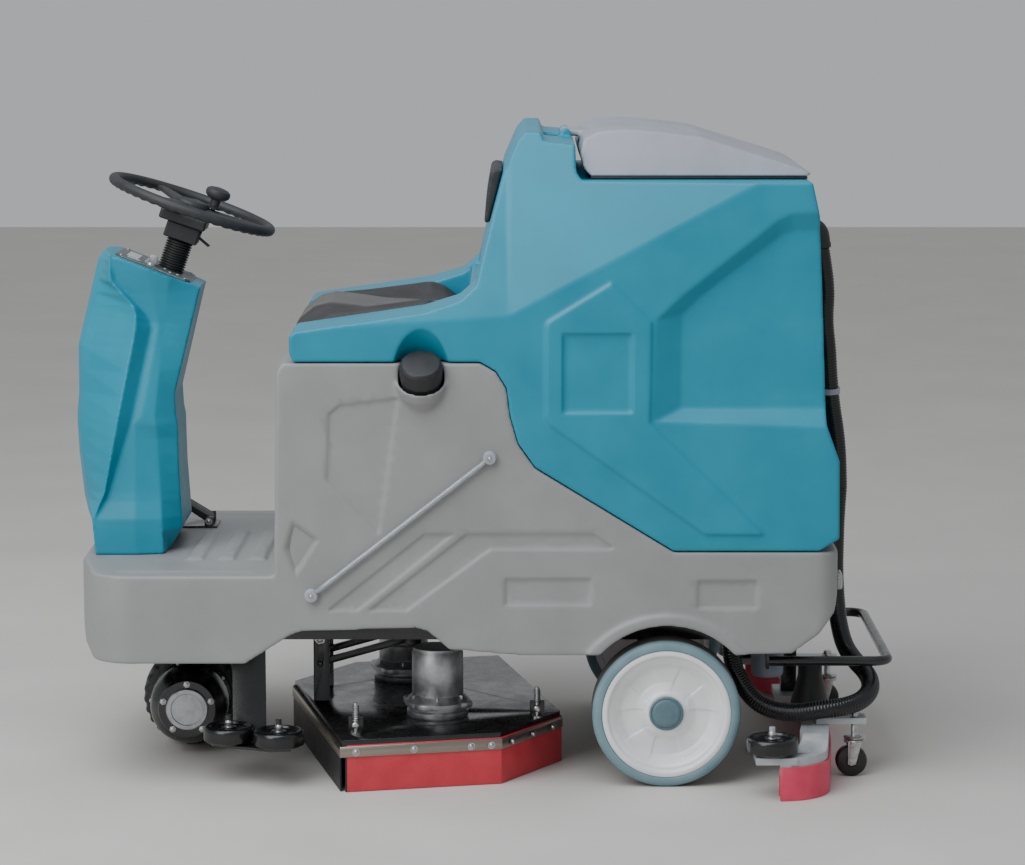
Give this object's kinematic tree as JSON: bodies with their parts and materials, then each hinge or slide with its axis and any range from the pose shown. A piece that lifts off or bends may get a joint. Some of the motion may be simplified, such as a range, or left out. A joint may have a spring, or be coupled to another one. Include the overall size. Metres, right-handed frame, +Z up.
{
  "type": "ride-on floor scrubber",
  "caption": "Ride-on floor scrubber with moulded tanks, steered front drive wheel, skewed twin-disc brush deck and curved rear squeegee that trails on casters",
  "frame": {"origin": "on the floor under the middle of the bounding box", "axes": "+Z up, front towards -Y, driver's left side on +X"},
  "size_m": [1.06, 1.698, 1.318],
  "materials": {
    "teal_plastic": "rotomoulded polyethylene, satin",
    "grey_plastic": "rotomoulded polyethylene, satin",
    "light_grey_plastic": "rotomoulded polyethylene, satin",
    "black_plastic": "moulded, fine texture",
    "wheel_plastic": "moulded, soft touch",
    "console_plate": "textured plate",
    "battery_case": "moulded",
    "brush_plastic": "moulded block with nylon bristles",
    "hose_plastic": "corrugated",
    "clear_tube": "clear",
    "lamp_lens": "clear lens",
    "button_red": "moulded",
    "seat_cover": "moulded vinyl skin",
    "black_rubber": "moulded",
    "red_rubber": "moulded",
    "roller_rubber": "glossy moulded",
    "grey_tyre": "non-marking rubber",
    "drive_tyre": "worn rubber",
    "rim_paint": "painted silver",
    "black_paint": "powder coated",
    "cast_paint": "painted casting",
    "zinc": "zinc plated",
    "stainless": "brushed",
    "aluminium_case": "cast",
    "brass": "cast"
  },
  "bodies": {
    "chassis": {"chassis_frame": "black_paint", "solution_tank": "grey_plastic", "battery_pack": "battery_case", "column_cover": "teal_plastic", "console_plate": "console_plate", "steering_collar": "black_plastic", "column_boot": "black_rubber", "steering_chain": "zinc", "pedal_base": "black_paint", "tank_hinge": "zinc", "sight_tube": "clear_tube", "drain_valve": "brass", "lift_actuator": "aluminium_case", "guard_bar": "black_paint", "lamp_lenses": "lamp_lens", "hose_lower": "hose_plastic"},
    "steering": {"steering_wheel": "wheel_plastic", "steering_shaft": "zinc"},
    "knob": {"spinner_knob": "black_plastic"},
    "column": {"column_shaft": "zinc"},
    "drive_unit": {"drive_fork": "black_paint", "drive_housing": "black_paint"},
    "drive_wheel": {"drive_tyre": "drive_tyre", "drive_hub": "zinc"},
    "bumper_front": {"bumper_roller_front": "roller_rubber"},
    "bumper_rear": {"bumper_roller_rear": "roller_rubber"},
    "wheel_left": {"rear_rim_left": "rim_paint", "rear_tyre_left": "grey_tyre"},
    "wheel_right": {"rear_rim_right": "rim_paint", "rear_tyre_right": "grey_tyre"},
    "pedal": {"accelerator_pedal": "black_rubber"},
    "key": {"key_switch": "zinc"},
    "button": {"stop_button": "button_red"},
    "tank": {"recovery_tank": "teal_plastic", "seat_cushion": "seat_cover", "back_pad": "black_rubber", "vacuum_motor": "aluminium_case", "hose_upper": "hose_plastic"},
    "lid": {"tank_lid": "light_grey_plastic", "lid_seal": "black_rubber"},
    "cap": {"filler_cap": "black_plastic"},
    "valve": {"valve_lever": "button_red"},
    "arms": {"lift_arms": "black_paint"},
    "links": {"lower_links": "black_paint"},
    "deck": {"deck_plate": "black_paint", "deck_skirts": "red_rubber", "clamp_strips": "stainless", "brush_motors": "aluminium_case"},
    "brush_l": {"brush_left": "brush_plastic"},
    "brush_r": {"brush_right": "brush_plastic"},
    "tow": {"tow_arm": "black_paint"},
    "squeegee": {"squeegee_body": "cast_paint", "squeegee_blades": "red_rubber", "suction_inlet": "black_plastic"},
    "caster_l": {"caster_fork_left": "zinc"},
    "caster_r": {"caster_fork_right": "zinc"},
    "caster_wheel_l": {"caster_wheel_left": "roller_rubber"},
    "caster_wheel_r": {"caster_wheel_right": "roller_rubber"},
    "end_roller_l": {"squeegee_roller_left": "roller_rubber"},
    "end_roller_r": {"squeegee_roller_right": "roller_rubber"}
  },
  "joints": [
    {"name": "steer", "type": "hinge", "parent": "chassis", "child": "steering", "pos_m": [0, -0.602, 1.148], "axis": [0, 0.3256, 0.9455], "range_deg": [-180, 180]},
    {"name": "knob_spin", "type": "hinge", "parent": "steering", "child": "knob", "pos_m": [0, -0.5604, 1.13368], "axis": [0, 0.3256, 0.9455], "continuous": true},
    {"name": "column_turn", "type": "hinge", "parent": "chassis", "child": "column", "pos_m": [0, -0.75013, 0.5], "axis": [0, 0, 1], "range_deg": [-180, 180]},
    {"name": "drive_steer", "type": "hinge", "parent": "chassis", "child": "drive_unit", "pos_m": [0, -0.612, 0.33], "axis": [0, 0, 1], "range_deg": [-60, 60]},
    {"name": "drive_spin", "type": "hinge", "parent": "drive_unit", "child": "drive_wheel", "pos_m": [0, -0.612, 0.105], "axis": [1, 0, 0], "continuous": true},
    {"name": "bumper_front_spin", "type": "hinge", "parent": "chassis", "child": "bumper_front", "pos_m": [0.344, -0.509, 0.1], "axis": [0, 0, 1], "continuous": true},
    {"name": "bumper_rear_spin", "type": "hinge", "parent": "chassis", "child": "bumper_rear", "pos_m": [0.384, -0.405, 0.1], "axis": [0, 0, 1], "continuous": true},
    {"name": "wheel_left_spin", "type": "hinge", "parent": "chassis", "child": "wheel_left", "pos_m": [0.37, 0.377, 0.15], "axis": [1, 0, 0], "continuous": true},
    {"name": "wheel_right_spin", "type": "hinge", "parent": "chassis", "child": "wheel_right", "pos_m": [-0.37, 0.377, 0.15], "axis": [1, 0, 0], "continuous": true},
    {"name": "pedal_press", "type": "hinge", "parent": "chassis", "child": "pedal", "pos_m": [-0.215, -0.592, 0.448], "axis": [1, 0, 0], "range_deg": [0, 18], "stiffness_Nm_per_rad": 2, "springref_deg": -11.46},
    {"name": "key_turn", "type": "hinge", "parent": "chassis", "child": "key", "pos_m": [0.046, -0.6856, 1.02115], "axis": [0, 0.3584, 0.9336], "range_deg": [0, 90]},
    {"name": "button_press", "type": "slide", "parent": "chassis", "child": "button", "axis": [0, -0.3584, -0.9336], "range_m": [0, 0.004], "stiffness_N_per_m": 2000, "springref_m": -0.001},
    {"name": "tank_tilt", "type": "hinge", "parent": "chassis", "child": "tank", "pos_m": [0, 0.712, 0.497], "axis": [-1, 0, 0], "range_deg": [0, 60], "deforming": ["hose_lower", "hose_upper"]},
    {"name": "lid_open", "type": "hinge", "parent": "tank", "child": "lid", "pos_m": [0, 0.176, 1.298], "axis": [1, 0, 0], "range_deg": [0, 70]},
    {"name": "cap_off", "type": "slide", "parent": "chassis", "child": "cap", "axis": [0.5878, 0, 0.809], "range_m": [0, 0.045]},
    {"name": "valve_turn", "type": "hinge", "parent": "chassis", "child": "valve", "pos_m": [0.32, 0.186, 0.265], "axis": [0, 0, 1], "range_deg": [0, 90]},
    {"name": "deck_lift", "type": "hinge", "parent": "chassis", "child": "arms", "pos_m": [0, -0.166, 0.288], "axis": [-1, 0, 0], "range_deg": [0, 20]},
    {"name": "link_lift", "type": "hinge", "parent": "chassis", "child": "links", "pos_m": [0, -0.166, 0.233], "axis": [-1, 0, 0], "range_deg": [0, 20]},
    {"name": "deck_level", "type": "hinge", "parent": "arms", "child": "deck", "pos_m": [0, -0.338, 0.24], "axis": [-1, 0, 0], "range_deg": [-20, 0]},
    {"name": "brush_left_spin", "type": "hinge", "parent": "deck", "child": "brush_l", "pos_m": [0.20703, -0.08768, 0.06], "axis": [0, 0, 1], "continuous": true},
    {"name": "brush_right_spin", "type": "hinge", "parent": "deck", "child": "brush_r", "pos_m": [-0.14764, -0.16956, 0.06], "axis": [0, 0, 1], "continuous": true},
    {"name": "squeegee_lift", "type": "hinge", "parent": "chassis", "child": "tow", "pos_m": [0, 0.56, 0.215], "axis": [1, 0, 0], "range_deg": [0, 10], "deforming": ["hose_lower"]},
    {"name": "squeegee_sway", "type": "hinge", "parent": "tow", "child": "squeegee", "pos_m": [0, 0.654, 0.1], "axis": [0, 0, 1], "range_deg": [-8, 8], "deforming": ["hose_lower"]},
    {"name": "caster_left_swivel", "type": "hinge", "parent": "squeegee", "child": "caster_l", "pos_m": [0.3, 0.766, 0.09], "axis": [0, 0, 1], "continuous": true},
    {"name": "caster_right_swivel", "type": "hinge", "parent": "squeegee", "child": "caster_r", "pos_m": [-0.3, 0.766, 0.09], "axis": [0, 0, 1], "continuous": true},
    {"name": "caster_left_roll", "type": "hinge", "parent": "caster_l", "child": "caster_wheel_l", "pos_m": [0.3, 0.76, 0.032], "axis": [1, 0, 0], "continuous": true},
    {"name": "caster_right_roll", "type": "hinge", "parent": "caster_r", "child": "caster_wheel_r", "pos_m": [-0.3, 0.76, 0.032], "axis": [1, 0, 0], "continuous": true},
    {"name": "end_roller_left_spin", "type": "hinge", "parent": "squeegee", "child": "end_roller_l", "pos_m": [0.478, 0.584, 0.105], "axis": [0, 0, 1], "continuous": true},
    {"name": "end_roller_right_spin", "type": "hinge", "parent": "squeegee", "child": "end_roller_r", "pos_m": [-0.478, 0.584, 0.105], "axis": [0, 0, 1], "continuous": true}
  ],
  "couplings": [
    {"joint": "column_turn", "follows": "steer", "ratio": 1},
    {"joint": "drive_steer", "follows": "steer", "ratio": 0.33333},
    {"joint": "link_lift", "follows": "deck_lift", "ratio": 1},
    {"joint": "deck_level", "follows": "deck_lift", "ratio": -1}
  ]
}
